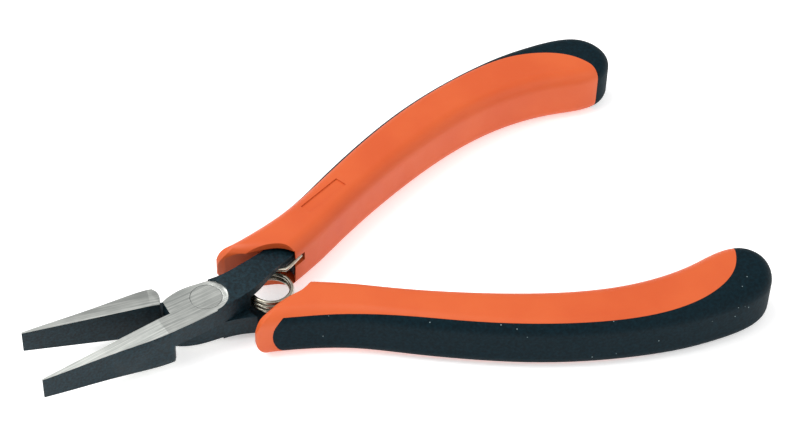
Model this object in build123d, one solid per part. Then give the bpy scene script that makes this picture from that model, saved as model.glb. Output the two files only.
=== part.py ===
"""Flat nose pliers: two identical half-lapped levers, a rivet, a coil return spring and two-part grips.

Units are millimetres. The origin is on the pivot axis, halfway through the joint. +X runs along the
centre line from the pivot towards the grips, +Z is up, along the pivot axis.

Each lever is drawn in its own lever frame: the pivot at the origin, the gripping face of its jaw on
y = 0 with the jaw on the -Y side, and its handle on the +Y side. The second lever is the first one
turned over about the X axis.
"""
from build123d import *
import os
from math import cos, radians, sin

# ---- Driving dimensions ---------------------------------------------------------------------------
OPENING = 20.0           # angle between the two gripping faces at rest, degrees
JAW_LENGTH = 29.8        # pivot to jaw tip
JAW_TIP_HALF = 2.05      # half the jaw's thickness at the tip
HEAD_HALF = 3.5          # half the thickness across the ground faces of the head
HEAD_START = 9.0         # where the jaw's taper in thickness reaches the head
SHANK_TOP = 3.8          # unground shank, a little proud of the ground face
GROUND_RADIUS = 3.6      # round end of the ground face, behind the pivot
FACE_GAP = 0.02          # each gripping face stands back this far from the closing plane
LAP_GAP = 0.025          # each lap face stands back this far from the middle plane

NOTCH_X = 6.7            # front edge of the lapped plate, which the other jaw's shoulder passes
TANG_END = 57.0          # hidden end of the tang inside the grip
TANG_HALF = 2.4          # half the tang's thickness
TANG_FULL_FROM = 17.5    # the tang reaches below the lap plane from here on

RIVET_RADIUS = 2.0
RIVET_HEAD_RADIUS = 2.6
RIVET_HEAD_DEPTH = 0.8
RIVET_CLEARANCE = 0.05   # running clearance in the upper lever

COIL_X = 11.1            # spring coil, on the centre line behind the joint
COIL_RADIUS = 3.5        # to the middle of the wire
WIRE_RADIUS = 0.36
COIL_TOP = 1.7           # middle of the wire at the upper leg
COIL_BOTTOM = -0.9       # middle of the wire at the lower leg
LEG_RADIUS = 0.33        # a little under the wire's, so that the leg starts inside the sleeve
POCKET_RADIUS = 4.45     # relief under each shank for the coil
POCKET_HEIGHT = 2.2

GRIP_HALF = 4.85         # half the thickness of the grips
GRIP_ROUND = 2.4         # rounding along the grips' edges
SHELL_WALL = 1.15        # wall of the shell round its open mouth
MOUTH_DEPTH = 22.0       # the mouth's hollow ends here
LEG_SLOT = (0.4, 2.2)    # heights of the slot that takes the spring's leg
LIP_FRONT = 6.4          # front end of the shell's lip
LIP_ROUND = 4.8          # the lip is round from above to below
RIM_ROUND = 2.4          # rounding of the mouth's rim
RIM_LINE = [(6.5, 7.2), (18.2, -2.0)]    # front of the rim, from the lip to the inner side
CUSHION_FRONT = 9.2      # front end of the soft cushion
CUSHION_ROUND = 4.9      # the cushion's front end is round in the same way
LABEL_LENGTH = 9.0       # blank recessed panel on the grip
LABEL_WIDTH = 2.2
LABEL_DEPTH = 0.25
LABEL_AT = (27.9, 8.3)
LABEL_ANGLE = 16.0

# ---- Outlines in the lever frame -------------------------------------------------------------------
TIP = (-JAW_LENGTH, -0.3)
SHOULDER = (-7.2, -3.7)
JAW_BACK = [TIP, (-25.3, -1.05), (-19.1, -2.0), (-14.5, -2.85), (-10.5, -3.55), SHOULDER]
FLANK = [SHOULDER, (-3.2, -3.75), (0.8, -3.6), (4.5, -3.3), (7.8, -2.6), (11.5, -1.0), (14.0, 0.0),
         (17.0, 0.95), (19.5, 1.95), (24.5, 4.7), (31.0, 7.5), (40.0, 10.7), (50.0, 13.2),
         (TANG_END, 14.4)]
TANG_BACK = [(TANG_END, 18.0), (50.0, 17.0), (40.0, 14.7), (30.5, 11.1), (24.5, 8.4), (19.5, 6.1),
             (14.8, 4.6), (11.0, 3.6), (7.5, 2.9), (4.5, 2.7), (1.5, 3.05), (-1.0, 3.5), (-3.3, 3.6),
             (-6.4, 2.85)]
SHOULDER_END = [(-7.6, 0.6), (-7.5, -0.2), (-7.3, -1.1), (-7.3, -2.1), (-7.6, -3.0), (-8.4, -3.9), (-9.0, -6.0)]

LEG = [(13.0, 0.8), (14.9, -0.42), (17.0, 0.42), (18.9, 1.2)]

GRIP = [(0.0, -1.6), (8.0, -1.5), (16.0, 0.05), (24.0, 2.45), (30.0, 4.7), (40.0, 8.0), (50.0, 10.6),
        (60.0, 12.3), (66.0, 12.6), (73.0, 12.0), (79.0, 10.5), (84.0, 8.8), (88.5, 8.9), (91.1, 11.4),
        (91.5, 14.6), (89.8, 18.2), (85.5, 20.6), (81.0, 21.6), (75.0, 22.3), (68.0, 22.3),
        (60.0, 21.6), (50.0, 19.75), (40.0, 16.8), (30.0, 13.1), (22.0, 10.1), (14.0, 8.45), (6.0, 7.95),
        (0.0, 7.7), (-4.0, 3.2)]
MOUTH = [(10.0, 13.0), (7.8, 9.0), (6.5, 7.6), (6.8, 6.0), (9.4, 4.8), (13.0, 3.9), (15.8, 2.6), (17.3, 0.6),
         (17.7, -3.0)]

SEAM = [(8.0, 7.3), (13.5, 7.9), (20.0, 8.95), (30.0, 12.0), (40.0, 15.6), (50.0, 18.5), (60.0, 20.35),
        (68.0, 20.9), (75.0, 20.2), (81.0, 17.8), (85.0, 14.2), (86.4, 10.8), (86.1, 6.0)]


def slab(curves, low, high):
    """A prism over the closed outline that the curves make, from height low to height high."""
    face = Face(Wire([edge for curve in curves for edge in curve.edges()]))
    return extrude(Plane.XY.offset(low) * face, amount=high - low, dir=(0, 0, 1))


def cylinder_at(x, y, radius, low, high):
    """An upright cylinder about (x, y), from height low to height high."""
    return Pos(x, y, (low + high) / 2) * Cylinder(radius, high - low)


def block(x0, x1, y0, y1, z0, z1):
    """A box between two opposite corners."""
    return Pos((x0 + x1) / 2, (y0 + y1) / 2, (z0 + z1) / 2) * Box(x1 - x0, y1 - y0, z1 - z0)


def to_lever_frame(x, angle):
    """A point of the centre line, seen from a lever that stands at angle to it."""
    return x * cos(radians(angle)), -x * sin(radians(angle))


def side_profile():
    """The lever seen from its side: thin at the tip, full at the head, thinner again at the tang."""
    upper = [(-JAW_LENGTH - 1, JAW_TIP_HALF - 0.07), (-HEAD_START, HEAD_HALF), (-HEAD_START, SHANK_TOP),
             (8.0, SHANK_TOP), (20.0, TANG_HALF), (TANG_END + 1, TANG_HALF)]
    lower = [(TANG_END + 1, -TANG_HALF), (16.0, -TANG_HALF), (0.0, -HEAD_HALF), (-HEAD_START, -HEAD_HALF),
             (-JAW_LENGTH - 1, -JAW_TIP_HALF + 0.07)]
    face = make_face(Plane.XZ * Polyline(upper + lower, close=True))
    return extrude(face, amount=40, both=True)


def make_lever():
    """One forged lever: jaw, lapped plate, shank and tang, with room below for the other lever."""
    notch = (-NOTCH_X, -FACE_GAP)
    tip_face = (-JAW_LENGTH, -FACE_GAP)
    lever = slab([
        Spline(JAW_BACK), Spline(FLANK), Line(FLANK[-1], TANG_BACK[0]), Spline(TANG_BACK),
        Line(TANG_BACK[-1], notch), Line(notch, tip_face), Line(tip_face, TIP)], -HEAD_HALF, SHANK_TOP)
    around = [SHOULDER_END[-1], (TANG_FULL_FROM, -9), (TANG_FULL_FROM, 12), (-6, 12), SHOULDER_END[0]]
    lever -= slab([Spline(SHOULDER_END), Polyline(around)], -HEAD_HALF - 1, LAP_GAP)
    lever &= side_profile()
    lever -= block(-JAW_LENGTH, 0, -10, 10, HEAD_HALF, SHANK_TOP + 1)
    lever -= cylinder_at(0, 0, GROUND_RADIUS, HEAD_HALF, SHANK_TOP + 1)
    for angle in (0, OPENING / 4, OPENING / 2):
        x, y = to_lever_frame(COIL_X, angle)
        lever -= cylinder_at(x, y, POCKET_RADIUS, -SHANK_TOP, POCKET_HEIGHT)
    return lever


def round_front(start, end, half, radius):
    """A layer behind the line from start to end, with its front edges rounded above and below."""
    along = Vector(*end) - Vector(*start)
    behind = Plane(origin=(*start, 0), x_dir=(-along.Y, along.X, 0), z_dir=(0, 0, 1))
    space = behind * Pos(60, 0, 0) * Box(120, 300, 2 * half)
    front = space.edges().filter_by(lambda e: abs(e.center().Z) > half - 0.01)
    nearest = front.sort_by(lambda e: (e.center() - Vector(*start)).dot(behind.x_dir))[:2]
    return fillet(nearest, radius)


def grip_blank():
    """The outer shape of one whole grip, rounded along both edges."""
    blank = slab([Spline(GRIP, periodic=True)], -GRIP_HALF, GRIP_HALF)
    rims = blank.edges().filter_by(lambda e: abs(e.center().Z) > GRIP_HALF - 0.01)
    rounded = fillet(rims, GRIP_ROUND)
    ahead = [MOUTH[-1], (-10, MOUTH[-1][1]), (-10, MOUTH[0][1]), MOUTH[0]]
    open_front = rounded - slab([Spline(MOUTH), Polyline(ahead)], -GRIP_HALF - 1, GRIP_HALF + 1)
    lip = round_front((LIP_FRONT, 0), (LIP_FRONT, -1), GRIP_HALF + 0.1, LIP_ROUND)
    return open_front & round_front(*RIM_LINE, GRIP_HALF + 0.1, RIM_ROUND) & lip


def cushion_region():
    """Everything on the soft side of the seam, behind its round front."""
    beyond = [(SEAM[-1][0], -5), (100, -5), (100, 35), (SEAM[0][0], 35), SEAM[0]]
    plan = slab([Spline(SEAM)] + [Line(a, b) for a, b in zip([SEAM[-1]] + beyond[:-1], beyond)],
                -GRIP_HALF - 1, GRIP_HALF + 1)
    return plan & round_front((CUSHION_FRONT, 0), (CUSHION_FRONT, -1), GRIP_HALF + 0.1, CUSHION_ROUND)


def mouth_hollow():
    """The open space inside the front of the shell, round the shank, and the slot for the spring's leg."""
    inner = [(3.0, -3.0), (15.6, -3.0), (18.2, 2.3), (MOUTH_DEPTH, 3.4)]
    outer = [(MOUTH_DEPTH, 7.9), (17.0, 7.2), (12.0, 6.7), (3.0, 6.3)]
    half = GRIP_HALF - SHELL_WALL
    hollow = slab([Polyline(inner + outer, close=True)], -half, half)
    hollow &= round_front((LIP_FRONT, 0), (LIP_FRONT, -1), half, half - 0.05)
    slot = [(15.5, -1.0), (17.6, -0.1), (19.5, 0.75), (19.5, 4.8), (15.5, 4.0)]
    return hollow + slab([Polyline(slot, close=True)], *LEG_SLOT)


def label_recess():
    """The shallow blank panel sunk in the grip's face."""
    panel = Box(LABEL_LENGTH, LABEL_WIDTH, 2 * LABEL_DEPTH)
    return Pos(*LABEL_AT, GRIP_HALF) * Rot(0, 0, LABEL_ANGLE) * panel


def make_grip(lever):
    """The two mouldings of one grip: the hard shell round the tang and the soft cushion outside it."""
    blank = grip_blank()
    cushion = blank & cushion_region()
    shell = blank - cushion_region() - mouth_hollow() - lever - label_recess()
    return shell, cushion


def rivet_shape(grow):
    """The rivet, flush with both ground faces; grow enlarges it all round for the hole."""
    shank = Cylinder(RIVET_RADIUS + grow, 2 * HEAD_HALF)
    heads = [
        Pos(0, 0, side * (HEAD_HALF - RIVET_HEAD_DEPTH / 2)) * Rot(0 if side > 0 else 180, 0, 0)
        * Cone(RIVET_RADIUS + grow, RIVET_HEAD_RADIUS + grow, RIVET_HEAD_DEPTH)
        for side in (1, -1)]
    return shank + heads[0] + heads[1]


def leg_route(side):
    """One leg's centre line at rest, from the coil into a grip's mouth."""
    half = radians(OPENING / 2)
    height = COIL_TOP if side > 0 else COIL_BOTTOM
    return [(x * cos(half) - y * sin(half), side * (x * sin(half) + y * cos(half)), height)
            for x, y in LEG]


def make_spring():
    """The return spring: its coil as the sleeve that the close turns fill, and its two legs as wire."""
    low, high = COIL_BOTTOM - WIRE_RADIUS, COIL_TOP + WIRE_RADIUS
    coil = cylinder_at(COIL_X, 0, COIL_RADIUS + WIRE_RADIUS, low, high)
    coil -= cylinder_at(COIL_X, 0, COIL_RADIUS - WIRE_RADIUS, low, high)
    for side in (1, -1):
        route = leg_route(side)
        for start, end in zip(route, route[1:]):
            run = Vector(end) - Vector(start)
            wire = Cylinder(LEG_RADIUS, run.length, align=(Align.CENTER, Align.CENTER, Align.MIN))
            coil += Plane(origin=start, z_dir=run) * wire + Pos(*end) * Sphere(LEG_RADIUS)
    return coil


def place_top(shape):
    """From the lever frame to the upper lever's place at rest."""
    return Rot(0, 0, OPENING / 2) * shape


def place_bottom(shape):
    """From the lever frame to the lower lever's place at rest: turned over, and open the other way."""
    return Rot(0, 0, -OPENING / 2) * (Rot(180, 0, 0) * shape)


def main():
    os.makedirs("parts", exist_ok=True)
    lever = make_lever()
    shell, cushion = make_grip(lever)
    nodes = {
        "top_lever": place_top(lever - rivet_shape(RIVET_CLEARANCE)),
        "bottom_lever": place_bottom(lever - rivet_shape(0)),
        "pivot_rivet": rivet_shape(0),
        "return_spring": make_spring(),
        "top_grip_shell": place_top(shell),
        "top_grip_cushion": place_top(cushion),
        "bottom_grip_shell": place_bottom(shell),
        "bottom_grip_cushion": place_bottom(cushion),
    }
    for name, shape in nodes.items():
        export_step(shape, f"parts/{name}.step")
        print(name, round(shape.volume, 1), "mm3")


main()
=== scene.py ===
"""Flat nose pliers with a return spring and two-part grips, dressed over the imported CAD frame."""
import logging
from dataclasses import dataclass, field
from enum import Enum
from math import cos, pi, radians, sin
from typing import Iterable

import bmesh
import bpy
from mathutils import Matrix, Vector


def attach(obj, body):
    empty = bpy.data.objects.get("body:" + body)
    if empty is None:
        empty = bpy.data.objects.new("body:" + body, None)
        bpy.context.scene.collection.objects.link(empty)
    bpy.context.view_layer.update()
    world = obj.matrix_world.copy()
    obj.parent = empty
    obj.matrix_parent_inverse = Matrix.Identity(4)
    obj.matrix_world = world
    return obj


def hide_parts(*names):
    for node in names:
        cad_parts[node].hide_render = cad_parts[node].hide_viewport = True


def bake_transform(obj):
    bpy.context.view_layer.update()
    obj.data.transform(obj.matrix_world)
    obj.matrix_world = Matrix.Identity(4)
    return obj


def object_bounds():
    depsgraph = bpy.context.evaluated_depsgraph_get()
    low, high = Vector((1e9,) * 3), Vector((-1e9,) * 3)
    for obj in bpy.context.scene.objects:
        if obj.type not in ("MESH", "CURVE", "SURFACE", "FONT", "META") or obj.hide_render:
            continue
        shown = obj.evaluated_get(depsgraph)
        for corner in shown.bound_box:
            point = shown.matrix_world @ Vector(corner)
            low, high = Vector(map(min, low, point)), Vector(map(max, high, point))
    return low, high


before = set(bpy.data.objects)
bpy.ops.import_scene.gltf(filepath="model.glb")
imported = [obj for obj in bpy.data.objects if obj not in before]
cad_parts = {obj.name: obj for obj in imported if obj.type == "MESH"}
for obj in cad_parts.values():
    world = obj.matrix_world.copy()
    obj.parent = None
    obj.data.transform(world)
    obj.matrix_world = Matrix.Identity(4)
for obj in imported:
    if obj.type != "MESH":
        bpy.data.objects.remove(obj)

LOG = logging.getLogger("flat_nose_pliers")
MM = 0.001
CAD_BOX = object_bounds()
WELD_MM = 0.002          # corners closer than this are one corner
FLAT_DEGREES = 0.4       # faces that turn less than this are one flat
FLOOR_GAP_MM = 0.02      # the floor lies this far under the tool
SENSOR_MM = 36.0


class Body(Enum):
    """The two halves of the tool, which turn about the rivet."""

    BOTTOM = "bottom_half"
    TOP = "top_half"


class Slot(Enum):
    """The record's material slots."""

    FORGED = "phosphated_steel"
    RIVET = "rivet_steel"
    SPRING = "spring_steel"
    SHELL = "orange_shell"
    CUSHION = "soft_rubber"


def linear_colour(hex_code: str) -> tuple[float, float, float, float]:
    """Turn an sRGB hex colour to linear RGBA.

    Args:
        hex_code: Six hex digits, with or without a leading '#'.

    Returns:
        Linear red, green and blue with an alpha of 1.
    """
    digits = hex_code.lstrip("#")
    channels = [int(digits[i:i + 2], 16) / 255 for i in (0, 2, 4)]
    red, green, blue = [c / 12.92 if c <= 0.04045 else ((c + 0.055) / 1.055) ** 2.4 for c in channels]
    return red, green, blue, 1.0


def add_node(tree: bpy.types.NodeTree, kind: str, settings: dict | None = None,
             links: dict | None = None) -> bpy.types.Node:
    """Add one shader node with its settings and links.

    Args:
        tree: The node tree that takes the node.
        kind: The node's type name, such as 'ShaderNodeTexNoise'.
        settings: Node properties by name, and input values by socket name or number.
        links: Output sockets by the name or number of the input that they feed.

    Returns:
        The new node.
    """
    node = tree.nodes.new(kind)
    for name, value in (settings or {}).items():
        if isinstance(name, str) and hasattr(node, name) and name not in node.inputs:
            setattr(node, name, value)
        else:
            node.inputs[name].default_value = value
    for name, socket in (links or {}).items():
        tree.links.new(socket, node.inputs[name])
    return node


def set_ramp(node: bpy.types.Node, stops: Iterable[tuple[float, str]]) -> None:
    """Give a colour ramp its stops.

    Args:
        node: A Color Ramp node.
        stops: Pairs of place and sRGB hex colour, in order.
    """
    elements = node.color_ramp.elements
    stops = list(stops)
    while len(elements) < len(stops):
        elements.new(0.5)
    for element, (place, hex_code) in zip(elements, stops):
        element.position = place
        element.color = linear_colour(hex_code)


def new_material(name: str) -> tuple[bpy.types.Material, bpy.types.Node]:
    """Make an empty node material.

    Args:
        name: The material's name.

    Returns:
        The material and its Principled shader node.
    """
    material = bpy.data.materials.new(name)
    material.use_nodes = True
    return material, material.node_tree.nodes["Principled BSDF"]


@dataclass(frozen=True)
class MouldedShell:
    """Injection moulded polypropylene: even satin orange with a faint flow and fine pits."""

    name: str = "moulded_polypropylene"
    colour: str = "#CE5C2C"
    shade: str = "#C75326"
    roughness: float = 0.42
    flow_mm: float = 14.0
    pit_mm: float = 0.35

    def build(self) -> bpy.types.Material:
        """Build the material."""
        material, shader = new_material(self.name)
        tree = material.node_tree
        place = add_node(tree, "ShaderNodeTexCoord").outputs["Object"]
        flow = add_node(tree, "ShaderNodeTexNoise", {"Scale": 1000 / self.flow_mm, "Detail": 3.0},
                        {"Vector": place})
        tint = add_node(tree, "ShaderNodeValToRGB", links={"Fac": flow.outputs["Fac"]})
        set_ramp(tint, [(0.35, self.shade), (0.65, self.colour)])
        pits = add_node(tree, "ShaderNodeTexNoise", {"Scale": 1000 / self.pit_mm, "Detail": 4.0},
                        {"Vector": place})
        gloss = add_node(tree, "ShaderNodeMapRange", {"To Min": self.roughness - 0.05,
                                                      "To Max": self.roughness + 0.08},
                         {"Value": pits.outputs["Fac"]})
        bump = add_node(tree, "ShaderNodeBump", {"Strength": 0.18, "Distance": 0.00003},
                        {"Height": pits.outputs["Fac"]})
        tree.links.new(tint.outputs["Color"], shader.inputs["Base Color"])
        tree.links.new(gloss.outputs["Result"], shader.inputs["Roughness"])
        tree.links.new(bump.outputs["Normal"], shader.inputs["Normal"])
        shader.inputs["IOR"].default_value = 1.49
        shader.inputs["Specular IOR Level"].default_value = 0.3
        shader.inputs["Subsurface Weight"].default_value = 0.06
        shader.inputs["Subsurface Radius"].default_value = (0.0016, 0.0006, 0.0002)
        return material


@dataclass(frozen=True)
class SoftCushion:
    """Thermoplastic elastomer: matt blue-black, finely grained, with specks of pale dust."""

    name: str = "thermoplastic_elastomer"
    colour: str = "#01131A"
    worn: str = "#052029"
    dust: str = "#8FA3A6"
    roughness: float = 0.62
    grain_mm: float = 0.5
    dust_mm: float = 1.3
    speck_edge: tuple[float, float] = (0.09, 0.04)
    clean_share: float = 0.72

    def build(self) -> bpy.types.Material:
        """Build the material."""
        material, shader = new_material(self.name)
        tree = material.node_tree
        place = add_node(tree, "ShaderNodeTexCoord").outputs["Object"]
        grain = add_node(tree, "ShaderNodeTexNoise", {"Scale": 1000 / self.grain_mm, "Detail": 3.0},
                         {"Vector": place})
        tint = add_node(tree, "ShaderNodeValToRGB", links={"Fac": grain.outputs["Fac"]})
        set_ramp(tint, [(0.35, self.colour), (0.75, self.worn)])
        cells = add_node(tree, "ShaderNodeTexVoronoi", {"Scale": 1000 / self.dust_mm}, {"Vector": place})
        outer, inner = self.speck_edge
        speck = add_node(tree, "ShaderNodeMapRange", {"From Min": outer, "From Max": inner},
                         {"Value": cells.outputs["Distance"]})
        thin = add_node(tree, "ShaderNodeMath", {"operation": "GREATER_THAN", 1: self.clean_share},
                        {0: cells.outputs["Color"]})
        dusty = add_node(tree, "ShaderNodeMath", {"operation": "MULTIPLY"},
                         {0: speck.outputs["Result"], 1: thin.outputs["Value"]})
        colour = add_node(tree, "ShaderNodeMix", {"data_type": "RGBA", 7: linear_colour(self.dust)},
                          {0: dusty.outputs["Value"], 6: tint.outputs["Color"]})
        bump = add_node(tree, "ShaderNodeBump", {"Strength": 0.35, "Distance": 0.00006},
                        {"Height": grain.outputs["Fac"]})
        tree.links.new(colour.outputs[2], shader.inputs["Base Color"])
        tree.links.new(bump.outputs["Normal"], shader.inputs["Normal"])
        shader.inputs["Roughness"].default_value = self.roughness
        shader.inputs["IOR"].default_value = 1.5
        shader.inputs["Specular IOR Level"].default_value = 0.1
        return material


@dataclass(frozen=True)
class PhosphatedSteel:
    """Forged tool steel under manganese phosphate: near black, slightly blue, with a coarse grain."""

    name: str = "phosphated_tool_steel"
    colour: str = "#03141A"
    raised: str = "#15303A"
    roughness: float = 0.5
    grain_mm: float = 0.45

    def build(self) -> bpy.types.Material:
        """Build the material."""
        material, shader = new_material(self.name)
        tree = material.node_tree
        place = add_node(tree, "ShaderNodeTexCoord").outputs["Object"]
        grain = add_node(tree, "ShaderNodeTexNoise", {"Scale": 1000 / self.grain_mm, "Detail": 5.0,
                                                      "Roughness": 0.6}, {"Vector": place})
        tint = add_node(tree, "ShaderNodeValToRGB", links={"Fac": grain.outputs["Fac"]})
        set_ramp(tint, [(0.38, self.colour), (0.72, self.raised)])
        gloss = add_node(tree, "ShaderNodeMapRange", {"To Min": self.roughness - 0.14,
                                                      "To Max": self.roughness + 0.12},
                         {"Value": grain.outputs["Fac"]})
        bump = add_node(tree, "ShaderNodeBump", {"Strength": 0.5, "Distance": 0.00008},
                        {"Height": grain.outputs["Fac"]})
        tree.links.new(tint.outputs["Color"], shader.inputs["Base Color"])
        tree.links.new(gloss.outputs["Result"], shader.inputs["Roughness"])
        tree.links.new(bump.outputs["Normal"], shader.inputs["Normal"])
        shader.inputs["Metallic"].default_value = 0.1
        shader.inputs["Specular IOR Level"].default_value = 0.24
        return material


@dataclass(frozen=True)
class GroundSteel:
    """Surface-ground tool steel: bright, with fine straight scratches from the wheel.

    The scratches are drawn about four times coarser than real ones so that they show.
    """

    name: str = "ground_tool_steel"
    colour: str = "#D2D4CF"
    dull: str = "#989C99"
    roughness: float = 0.34
    scratch_mm: float = 0.16
    scratch_length_mm: float = 9.0
    clouds_per_metre: float = 220.0
    turn_degrees: float = 0.0

    def build(self) -> bpy.types.Material:
        """Build the material."""
        material, shader = new_material(self.name)
        tree = material.node_tree
        place = add_node(tree, "ShaderNodeTexCoord").outputs["Object"]
        along = 1000 / self.scratch_length_mm
        across = 1000 / self.scratch_mm
        turned = add_node(tree, "ShaderNodeMapping",
                          {"Rotation": (0.0, 0.0, -radians(self.turn_degrees))}, {"Vector": place})
        stretched = add_node(tree, "ShaderNodeMapping", {"Scale": (along, across, along)},
                             {"Vector": turned.outputs["Vector"]})
        scratch = add_node(tree, "ShaderNodeTexNoise", {"Scale": 1.0, "Detail": 4.0, "Roughness": 0.65},
                           {"Vector": stretched.outputs["Vector"]})
        cloud = add_node(tree, "ShaderNodeTexNoise", {"Scale": self.clouds_per_metre, "Detail": 3.0},
                         {"Vector": place})
        mixed = add_node(tree, "ShaderNodeMath", {"operation": "MULTIPLY_ADD", 1: 0.5},
                         {0: cloud.outputs["Fac"], 2: scratch.outputs["Fac"]})
        tint = add_node(tree, "ShaderNodeValToRGB", links={"Fac": mixed.outputs["Value"]})
        set_ramp(tint, [(0.55, self.dull), (0.95, self.colour)])
        gloss = add_node(tree, "ShaderNodeMapRange", {"To Min": self.roughness - 0.08,
                                                      "To Max": self.roughness + 0.12},
                         {"Value": scratch.outputs["Fac"]})
        bump = add_node(tree, "ShaderNodeBump", {"Strength": 0.25, "Distance": 0.00002},
                        {"Height": scratch.outputs["Fac"]})
        tree.links.new(tint.outputs["Color"], shader.inputs["Base Color"])
        tree.links.new(gloss.outputs["Result"], shader.inputs["Roughness"])
        tree.links.new(bump.outputs["Normal"], shader.inputs["Normal"])
        shader.inputs["Metallic"].default_value = 1.0
        return material


@dataclass(frozen=True)
class DrawnWire:
    """Drawn spring wire: bright, faintly yellow steel with drawing marks round the wire."""

    name: str = "drawn_spring_wire"
    colour: str = "#C9C3B4"
    dull: str = "#8F8A7C"
    roughness: float = 0.2
    mark_mm: float = 0.9

    def build(self) -> bpy.types.Material:
        """Build the material."""
        material, shader = new_material(self.name)
        tree = material.node_tree
        place = add_node(tree, "ShaderNodeTexCoord").outputs["Object"]
        marks = add_node(tree, "ShaderNodeTexNoise", {"Scale": 1000 / self.mark_mm, "Detail": 3.0},
                         {"Vector": place})
        tint = add_node(tree, "ShaderNodeValToRGB", links={"Fac": marks.outputs["Fac"]})
        set_ramp(tint, [(0.3, self.dull), (0.7, self.colour)])
        gloss = add_node(tree, "ShaderNodeMapRange", {"To Min": self.roughness - 0.06,
                                                      "To Max": self.roughness + 0.12},
                         {"Value": marks.outputs["Fac"]})
        tree.links.new(tint.outputs["Color"], shader.inputs["Base Color"])
        tree.links.new(gloss.outputs["Result"], shader.inputs["Roughness"])
        shader.inputs["Metallic"].default_value = 1.0
        return material


@dataclass(frozen=True)
class StudioPaper:
    """Plain pale translucent backdrop, lit softly from below so that shadows nearly vanish."""

    name: str = "backdrop_paper"
    colour: str = "#F4F4F4"
    glow: float = 0.45
    tooth_per_metre: float = 900.0

    def build(self) -> bpy.types.Material:
        """Build the material."""
        material, shader = new_material(self.name)
        tree = material.node_tree
        place = add_node(tree, "ShaderNodeTexCoord").outputs["Object"]
        tooth = add_node(tree, "ShaderNodeTexNoise", {"Scale": self.tooth_per_metre}, {"Vector": place})
        bump = add_node(tree, "ShaderNodeBump", {"Strength": 0.05, "Distance": 0.00005},
                        {"Height": tooth.outputs["Fac"]})
        tree.links.new(bump.outputs["Normal"], shader.inputs["Normal"])
        shader.inputs["Base Color"].default_value = linear_colour(self.colour)
        shader.inputs["Emission Color"].default_value = linear_colour(self.colour)
        shader.inputs["Emission Strength"].default_value = self.glow
        shader.inputs["Roughness"].default_value = 0.9
        return material


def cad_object(node: str) -> bpy.types.Object:
    """Find the scene object of a CAD node.

    Args:
        node: The CAD node's name.

    Returns:
        The node's object.
    """
    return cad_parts[node]


def cad_copy(node: str) -> bmesh.types.BMesh:
    """Copy a CAD node's mesh, with its loose triangles welded and its flats made whole.

    Args:
        node: The CAD node's name.

    Returns:
        A closed mesh in metres, in the row frame.
    """
    mesh = bmesh.new()
    mesh.from_mesh(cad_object(node).data)
    bmesh.ops.remove_doubles(mesh, verts=mesh.verts, dist=WELD_MM * MM)
    bmesh.ops.dissolve_limit(mesh, angle_limit=radians(FLAT_DEGREES), verts=mesh.verts,
                             edges=mesh.edges, delimit={"NORMAL"})
    return mesh


def finish_piece(mesh: bmesh.types.BMesh, name: str, materials: Iterable[bpy.types.Material],
                 smooth_degrees: float = 35.0) -> bpy.types.Object:
    """Make a finished mesh an object at the origin.

    Args:
        mesh: The finished mesh, which is freed.
        name: The piece's name.
        materials: The piece's materials, in slot order.
        smooth_degrees: Edges sharper than this stay crisp.

    Returns:
        The new object.
    """
    data = bpy.data.meshes.new(name)
    mesh.to_mesh(data)
    mesh.free()
    for material in materials:
        data.materials.append(material)
    for polygon in data.polygons:
        polygon.use_smooth = True
    data.set_sharp_from_angle(angle=radians(smooth_degrees))
    piece = bpy.data.objects.new(name, data)
    bpy.context.scene.collection.objects.link(piece)
    return piece


def round_edges(piece: bpy.types.Object, width_mm: float, segments: int = 2,
                angle_degrees: float = 30.0) -> None:
    """Round a piece's sharp edges.

    Args:
        piece: The piece.
        width_mm: How far the rounding reaches from each edge.
        segments: The steps across it.
        angle_degrees: Only edges sharper than this are rounded.
    """
    bevel = piece.modifiers.new("edge_rounding", "BEVEL")
    bevel.width = width_mm * MM
    bevel.segments = segments
    bevel.limit_method = "ANGLE"
    bevel.angle_limit = radians(angle_degrees)
    bevel.harden_normals = True
    bevel.use_clamp_overlap = True


@dataclass
class Lever:
    """One forged lever: phosphated all over, then ground bright across the head and the jaw."""

    node: str
    body: Body
    turn_degrees: float
    ground_radius: float = 3.6
    ground_margin: float = 0.2
    ground_level: float = 0.97
    core_mm: float = 1.5
    edge_mm: float = 0.14

    def build(self) -> bpy.types.Object:
        """Dress a copy of the lever, with its ground faces in their own finish."""
        mesh = cad_copy(self.node)
        for face in mesh.faces:
            face.material_index = 1 if self.is_ground(face) else 0
        materials = (PhosphatedSteel().build(),
                     GroundSteel(turn_degrees=self.turn_degrees).build())
        piece = finish_piece(mesh, f"{self.node}_forging", materials)
        round_edges(piece, self.edge_mm)
        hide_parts(self.node)
        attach(piece, self.body.value)
        return piece

    def is_ground(self, face: bmesh.types.BMFace) -> bool:
        """Tell whether a face is one of the two ground ones, which end in a round behind the pivot.

        Args:
            face: A face of the lever.

        Returns:
            True for a level face outside the core that reaches no further back than the round.
        """
        level = abs(face.normal.z) > self.ground_level
        outside = abs(face.calc_center_median().z) > self.core_mm * MM
        behind = [Vector((v.co.x, v.co.y)).length for v in face.verts if v.co.x > 0]
        limit = (self.ground_radius + self.ground_margin) * MM
        return level and outside and max(behind, default=0.0) < limit


@dataclass
class Rivet:
    """The flush rivet, ground with the faces round it."""

    node: str = "pivot_rivet"
    grain_degrees: float = 10.0
    edge_mm: float = 0.04

    def build(self) -> bpy.types.Object:
        """Dress a copy of the rivet."""
        finish = GroundSteel(name="ground_rivet_steel", turn_degrees=self.grain_degrees)
        piece = finish_piece(cad_copy(self.node), "ground_rivet", [finish.build()])
        round_edges(piece, self.edge_mm)
        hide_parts(self.node)
        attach(piece, Body.BOTTOM.value)
        return piece


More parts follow.
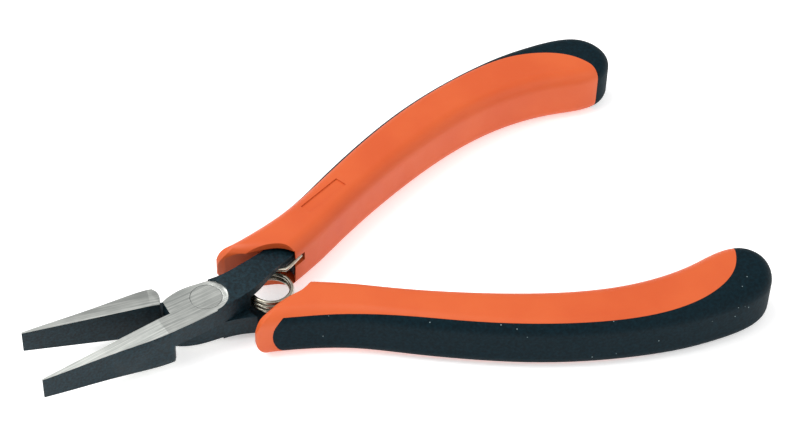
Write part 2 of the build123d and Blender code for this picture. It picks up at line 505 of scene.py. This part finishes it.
@dataclass
class ReturnSpring:
    """The return spring: a wound coil behind the joint, with a leg along each shank."""

    node: str = "return_spring"
    coil_x: float = 11.1
    coil_radius: float = 3.5
    wire_radius: float = 0.36
    top: float = 1.7
    bottom: float = -0.9
    leaves_degrees: float = 62.0
    full_turns: int = 2
    coil_steps: int = 150
    wire_sides: int = 12
    smooth_degrees: float = 50.0
    opening_degrees: float = 20.0
    leg: list[tuple[float, float]] = field(default_factory=lambda: [
        (14.9, -0.28), (15.9, 0.0), (17.0, 0.42), (18.0, 0.83), (18.8, 1.16)])

    def build(self) -> bpy.types.Object:
        """Wind the coil by a spin with a rise, then draw each leg out of its end ring."""
        mesh = bmesh.new()
        start = radians(self.leaves_degrees)
        ring = bmesh.ops.create_circle(mesh, segments=self.wire_sides,
                                       radius=self.wire_radius * MM)["verts"]
        upright = Matrix.Rotation(start, 4, "Z") @ Matrix.Translation((self.coil_radius * MM, 0, 0))
        place = Matrix.Translation((self.coil_x * MM, 0, self.top * MM)) @ upright
        bmesh.ops.transform(mesh, matrix=place @ Matrix.Rotation(pi / 2, 4, "X"), verts=ring)
        edges = list(mesh.edges)
        sweep = 2 * pi * (self.full_turns + 1) - 2 * start
        rise = Vector((0, 0, (self.bottom - self.top) * MM / self.coil_steps))
        spun = bmesh.ops.spin(mesh, geom=edges, cent=(self.coil_x * MM, 0, 0), axis=(0, 0, 1),
                              dvec=rise, angle=sweep, steps=self.coil_steps, use_merge=False)
        last = [e for e in spun["geom_last"] if isinstance(e, bmesh.types.BMEdge)]
        self.draw_leg(mesh, edges, 1, self.top)
        self.draw_leg(mesh, last, -1, self.bottom)
        bmesh.ops.holes_fill(mesh, edges=[e for e in mesh.edges if e.is_boundary])
        bmesh.ops.recalc_face_normals(mesh, faces=mesh.faces)
        piece = finish_piece(mesh, "wound_return_spring", [DrawnWire().build()], self.smooth_degrees)
        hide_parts(self.node)
        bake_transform(piece)
        return piece

    def draw_leg(self, mesh: bmesh.types.BMesh, ring: list[bmesh.types.BMEdge], side: int,
                 height: float) -> None:
        """Draw one leg from an end ring of the coil into the mouth of a grip.

        Args:
            mesh: The spring's mesh.
            ring: The edges of the coil's end ring.
            side: 1 for the upper lever's leg, -1 for the lower lever's.
            height: The leg's height in millimetres.
        """
        half = radians(self.opening_degrees / 2)
        leave = radians(self.leaves_degrees)
        here = Vector((self.coil_x + self.coil_radius * cos(leave),
                       side * self.coil_radius * sin(leave), height)) * MM
        heading = Vector((sin(leave), -side * cos(leave), 0))
        stations = [Vector((x * cos(half) - y * sin(half), side * (x * sin(half) + y * cos(half)),
                            height)) * MM for x, y in self.leg]
        for number, station in enumerate(stations):
            after = stations[min(number + 1, len(stations) - 1)]
            before = stations[number - 1] if number else here
            new_heading = (after - before).normalized()
            turn = heading.rotation_difference(new_heading).to_matrix()
            extruded = bmesh.ops.extrude_edge_only(mesh, edges=ring)["geom"]
            verts = [v for v in extruded if isinstance(v, bmesh.types.BMVert)]
            ring = [e for e in extruded if isinstance(e, bmesh.types.BMEdge)]
            bmesh.ops.translate(mesh, verts=verts, vec=station - here)
            bmesh.ops.rotate(mesh, verts=verts, cent=station, matrix=turn)
            here, heading = station, new_heading


@dataclass
class Grip:
    """One grip: the hard shell round the tang and the soft cushion on its outer side."""

    side: str
    body: Body
    lip_mm: float = 0.28
    seam_mm: float = 0.22
    edge_segments: int = 3

    def build(self) -> list[bpy.types.Object]:
        """Dress the shell and the cushion."""
        return [self.dress("shell", MouldedShell(), self.lip_mm),
                self.dress("cushion", SoftCushion(), self.seam_mm)]

    def dress(self, part: str, finish: MouldedShell | SoftCushion,
              edge_mm: float) -> bpy.types.Object:
        """Dress a copy of one moulding of the grip.

        Args:
            part: 'shell' or 'cushion'.
            finish: The moulding's finish.
            edge_mm: The rounding of its edges.

        Returns:
            The piece.
        """
        node = f"{self.side}_grip_{part}"
        piece = finish_piece(cad_copy(node), f"{node}_moulding", [finish.build()])
        round_edges(piece, edge_mm, segments=self.edge_segments)
        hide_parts(node)
        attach(piece, self.body.value)
        return piece


@dataclass(frozen=True)
class Lamp:
    """One square soft light, aimed at the origin, in metres and watts."""

    name: str
    place: tuple[float, float, float]
    size: float
    power: float

    def build(self) -> None:
        """Hang the lamp."""
        lamp = bpy.data.lights.new(self.name, "AREA")
        lamp.size = self.size
        lamp.energy = self.power
        light = bpy.data.objects.new(self.name, lamp)
        light.location = self.place
        light.rotation_euler = Vector(self.place).to_track_quat("Z", "Y").to_euler()
        bpy.context.scene.collection.objects.link(light)


@dataclass
class Studio:
    """The pale floor, the soft lights and the camera."""

    azimuth_degrees: float = 25.96
    elevation_degrees: float = 44.42
    roll_degrees: float = 2.18
    distance_mm: float = 374.4
    lens_mm: float = 104.1376
    aim_right_mm: float = 30.62
    aim_up_mm: float = 17.56
    floor_size: float = 3.0
    surround: float = 0.62
    lamps: tuple[Lamp, ...] = (Lamp("key", (-0.35, 0.25, 0.75), 0.7, 7.0),
                               Lamp("fill", (0.45, -0.65, 0.6), 0.9, 3.0))

    def build(self) -> None:
        """Set up the floor, the lights and the camera."""
        self.floor()
        self.lights()
        self.camera()

    def floor(self) -> None:
        """Lay the pale floor under the lowest point of the tool."""
        mesh = bmesh.new()
        bmesh.ops.create_grid(mesh, x_segments=8, y_segments=8, size=self.floor_size)
        bmesh.ops.translate(mesh, verts=mesh.verts, vec=(0, 0, CAD_BOX[0].z - FLOOR_GAP_MM * MM))
        finish_piece(mesh, "backdrop", [StudioPaper().build()])

    def lights(self) -> None:
        """Hang two broad soft lights over an even white surround."""
        world = bpy.data.worlds.new("white_surround")
        world.use_nodes = True
        background = world.node_tree.nodes["Background"]
        background.inputs["Color"].default_value = linear_colour("#FFFFFF")
        background.inputs["Strength"].default_value = self.surround
        bpy.context.scene.world = world
        for lamp in self.lamps:
            lamp.build()

    def camera(self) -> None:
        """Place the camera and aim it."""
        turn, rise = radians(self.azimuth_degrees), radians(self.elevation_degrees)
        right = Vector((cos(turn), -sin(turn), 0))
        up = Vector((sin(rise) * sin(turn), sin(rise) * cos(turn), cos(rise)))
        back = right.cross(up)
        aim = (right * self.aim_right_mm + up * self.aim_up_mm) * MM
        frame_axes = Matrix((right, up, back)).transposed().to_4x4()
        rolled = frame_axes @ Matrix.Rotation(radians(self.roll_degrees), 4, "Z")
        lens = bpy.data.cameras.new("camera")
        lens.sensor_width = SENSOR_MM
        lens.lens = self.lens_mm
        lens.clip_start = 0.01
        camera = bpy.data.objects.new("camera", lens)
        camera.matrix_world = Matrix.Translation(aim + back * self.distance_mm * MM) @ rolled
        bpy.context.scene.collection.objects.link(camera)
        bpy.context.scene.camera = camera
        bpy.context.scene.view_settings.view_transform = "Standard"


def main() -> None:
    """Build and dress every piece of the tool, and the studio round it."""
    logging.basicConfig(level=logging.INFO, format="%(message)s")
    Studio().build()
    pieces = [Lever("top_lever", Body.TOP, 10.0).build(), Lever("bottom_lever", Body.BOTTOM, -10.0).build(),
              Rivet().build(), ReturnSpring().build()]
    pieces += Grip("top", Body.TOP).build() + Grip("bottom", Body.BOTTOM).build()
    for piece in pieces:
        LOG.info("%s: %d faces", piece.name, len(piece.data.polygons))


if __name__ == "__main__":
    main()
